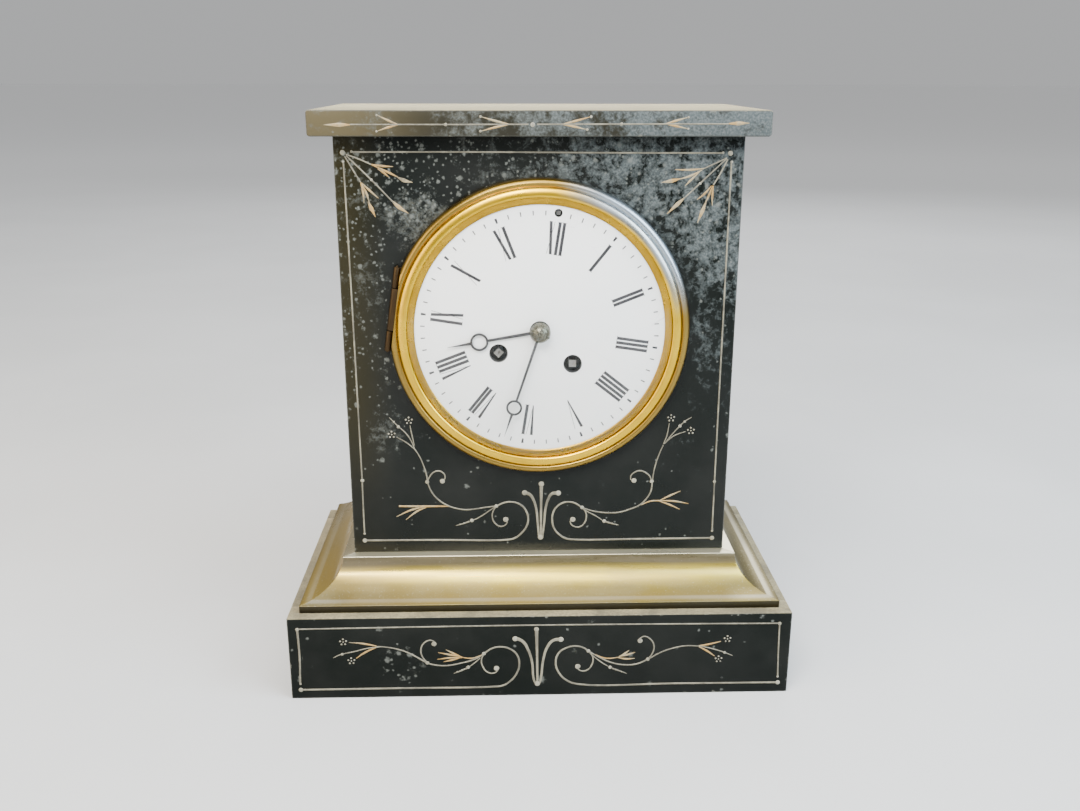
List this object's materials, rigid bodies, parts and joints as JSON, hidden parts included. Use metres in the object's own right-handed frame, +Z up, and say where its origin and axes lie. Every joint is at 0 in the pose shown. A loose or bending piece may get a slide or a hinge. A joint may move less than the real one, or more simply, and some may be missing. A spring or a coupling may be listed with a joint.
{
  "type": "mantel clock",
  "caption": "Slate mantel clock with a stepped coved base, square body, round glazed dial under a hinged brass bezel and a striking pendulum movement.",
  "frame": {"origin": "middle of the underside of the base, in width and depth", "axes": "+Z up, dial and front faces towards -Y, +X to the right as seen from the front"},
  "size_m": [0.21, 0.116, 0.239],
  "materials": {
    "slate": "satin black slate with a grey bloom",
    "brass": "aged brass, turned and brushed",
    "bezel_brass": "polished and lacquered brass, toned with age",
    "steel": "polished steel",
    "blued_steel": "dark steel hands",
    "bell_metal": "polished bell metal",
    "enamel": "white vitreous enamel",
    "glass": "clear domed glass"
  },
  "bodies": {
    "case": {"base_front_slab": "slate", "base_left_slab": "slate", "base_right_slab": "slate", "base_back_slab": "slate", "bed_slab": "slate", "cove_front": "slate", "cove_left": "slate", "cove_right": "slate", "cove_back_rail": "slate", "body_front_slab": "slate", "body_left_slab": "slate", "body_right_slab": "slate", "body_back_slab": "slate", "cornice_slab": "slate", "front_ring": "brass", "bezel_hinge_pin": "steel", "enamel_dial": "enamel", "dial_pan": "brass", "strap_upper": "brass", "strap_lower": "brass", "strap_screw_upper": "steel", "strap_screw_lower": "steel", "back_ring": "brass", "back_door_hinge_pin": "steel", "front_plate": "brass", "back_plate": "brass", "back_cock": "brass", "bell": "bell_metal", "bell_stand": "steel"},
    "bezel": {"bezel": "bezel_brass", "bezel_glass": "glass", "sight_ring": "bezel_brass"},
    "back_door": {"back_door": "brass", "back_door_knob": "brass"},
    "minute_hand": {"minute_hand": "blued_steel", "hand_collet": "steel", "cannon_pinion": "steel"},
    "hour_hand": {"hour_hand": "blued_steel", "hour_wheel": "brass"},
    "minute_wheel": {"minute_wheel": "brass"},
    "going_barrel": {"going_barrel": "brass"},
    "going_winding_arbor": {"going_winding_arbor": "steel"},
    "going_click": {"going_click": "steel"},
    "intermediate_wheel": {"intermediate_wheel": "brass"},
    "centre_wheel": {"centre_wheel": "brass"},
    "third_wheel": {"third_wheel": "brass"},
    "escape_wheel": {"escape_wheel": "brass"},
    "pallets": {"pallets_and_crutch": "steel"},
    "pendulum": {"pendulum_rod": "steel", "pendulum_bob": "brass"},
    "strike_barrel": {"strike_barrel": "brass"},
    "strike_winding_arbor": {"strike_winding_arbor": "steel"},
    "strike_click": {"strike_click": "steel"},
    "strike_second_wheel": {"strike_second_wheel": "brass", "count_wheel": "brass"},
    "pin_wheel": {"pin_wheel": "brass"},
    "locking_wheel": {"locking_wheel": "brass"},
    "fly": {"fly": "brass"},
    "hammer": {"hammer": "steel"},
    "regulating_arbor": {"regulating_arbor": "steel"}
  },
  "joints": [
    {"name": "bezel_hinge", "type": "hinge", "parent": "case", "child": "bezel", "pos_m": [-0.05901, -0.0341, 0.16203], "axis": [-0.1513, 0, -0.9885], "range_deg": [0, 110]},
    {"name": "back_door_hinge", "type": "hinge", "parent": "case", "child": "back_door", "pos_m": [-0.04389, 0.0553, 0.15972], "axis": [0.1513, 0, 0.9885], "range_deg": [0, 110]},
    {"name": "minute_hand_turn", "type": "hinge", "parent": "case", "child": "minute_hand", "pos_m": [0, -0.0375, 0.153], "axis": [0, 1, 0], "continuous": true},
    {"name": "hour_hand_turn", "type": "hinge", "parent": "case", "child": "hour_hand", "pos_m": [0, -0.0363, 0.153], "axis": [0, 1, 0], "continuous": true},
    {"name": "minute_wheel_turn", "type": "hinge", "parent": "case", "child": "minute_wheel", "pos_m": [-0.00438, -0.0282, 0.16423], "axis": [0, 1, 0], "continuous": true},
    {"name": "third_wheel_turn", "type": "hinge", "parent": "case", "child": "third_wheel", "pos_m": [-0.00155, -0.0114, 0.167], "axis": [0, 1, 0], "continuous": true},
    {"name": "escape_wheel_turn", "type": "hinge", "parent": "case", "child": "escape_wheel", "pos_m": [0.00385, 0.0026, 0.17819], "axis": [0, 1, 0], "continuous": true},
    {"name": "centre_wheel_turn", "type": "hinge", "parent": "case", "child": "centre_wheel", "pos_m": [0, -0.0227, 0.153], "axis": [0, 1, 0], "continuous": true},
    {"name": "intermediate_wheel_turn", "type": "hinge", "parent": "case", "child": "intermediate_wheel", "pos_m": [0.01495, 0.0056, 0.15625], "axis": [0, 1, 0], "continuous": true},
    {"name": "going_barrel_turn", "type": "hinge", "parent": "case", "child": "going_barrel", "pos_m": [0.0133, -0.012, 0.13943], "axis": [0, 1, 0], "continuous": true},
    {"name": "going_winding", "type": "hinge", "parent": "case", "child": "going_winding_arbor", "pos_m": [0.0133, -0.012, 0.13943], "axis": [0, 1, 0], "continuous": true},
    {"name": "going_click_lift", "type": "hinge", "parent": "case", "child": "going_click", "pos_m": [0.02112, -0.028, 0.13422], "axis": [0, 1, 0], "range_deg": [0, 10]},
    {"name": "pendulum_swing", "type": "hinge", "parent": "case", "child": "pendulum", "pos_m": [0.00561, 0.023, 0.18966], "axis": [0, 1, 0], "range_deg": [-4, 4]},
    {"name": "pallet_swing", "type": "hinge", "parent": "case", "child": "pallets", "pos_m": [0.00561, 0.0026, 0.18966], "axis": [0, 1, 0], "range_deg": [-4, 4]},
    {"name": "locking_wheel_turn", "type": "hinge", "parent": "case", "child": "locking_wheel", "pos_m": [-0.0149, -0.0075, 0.17472], "axis": [0, 1, 0], "continuous": true},
    {"name": "fly_turn", "type": "hinge", "parent": "case", "child": "fly", "pos_m": [-0.00871, -0.017, 0.17849], "axis": [0, 1, 0], "continuous": true},
    {"name": "pin_wheel_turn", "type": "hinge", "parent": "case", "child": "pin_wheel", "pos_m": [-0.01854, 0.0009, 0.16643], "axis": [0, 1, 0], "continuous": true},
    {"name": "strike_second_wheel_turn", "type": "hinge", "parent": "case", "child": "strike_second_wheel", "pos_m": [-0.02698, 0.0056, 0.15848], "axis": [0, 1, 0], "continuous": true},
    {"name": "strike_barrel_turn", "type": "hinge", "parent": "case", "child": "strike_barrel", "pos_m": [-0.01675, -0.012, 0.14403], "axis": [0, 1, 0], "continuous": true},
    {"name": "strike_winding", "type": "hinge", "parent": "case", "child": "strike_winding_arbor", "pos_m": [-0.01675, -0.012, 0.14403], "axis": [0, 1, 0], "continuous": true},
    {"name": "strike_click_lift", "type": "hinge", "parent": "case", "child": "strike_click", "pos_m": [-0.02577, -0.028, 0.14139], "axis": [0, -1, 0], "range_deg": [0, 10]},
    {"name": "hammer_lift", "type": "hinge", "parent": "case", "child": "hammer", "pos_m": [-0.02682, 0.015, 0.17936], "axis": [0, 1, 0], "range_deg": [0, 12]},
    {"name": "regulating_turn", "type": "hinge", "parent": "case", "child": "regulating_arbor", "pos_m": [0.00722, 0.019, 0.20015], "axis": [0, 1, 0], "continuous": true}
  ],
  "couplings": [
    {"joint": "hour_hand_turn", "follows": "minute_hand_turn", "ratio": 0.083333},
    {"joint": "minute_wheel_turn", "follows": "minute_hand_turn", "ratio": -0.33333},
    {"joint": "escape_wheel_turn", "follows": "third_wheel_turn", "ratio": -11.5},
    {"joint": "centre_wheel_turn", "follows": "third_wheel_turn", "ratio": -0.083333},
    {"joint": "intermediate_wheel_turn", "follows": "third_wheel_turn", "ratio": 0.010802},
    {"joint": "going_barrel_turn", "follows": "third_wheel_turn", "ratio": -0.0018004},
    {"joint": "pallet_swing", "follows": "pendulum_swing", "ratio": 1},
    {"joint": "fly_turn", "follows": "locking_wheel_turn", "ratio": -7},
    {"joint": "pin_wheel_turn", "follows": "locking_wheel_turn", "ratio": -0.11111},
    {"joint": "strike_second_wheel_turn", "follows": "locking_wheel_turn", "ratio": 0.011111},
    {"joint": "strike_barrel_turn", "follows": "locking_wheel_turn", "ratio": -0.0024691}
  ]
}
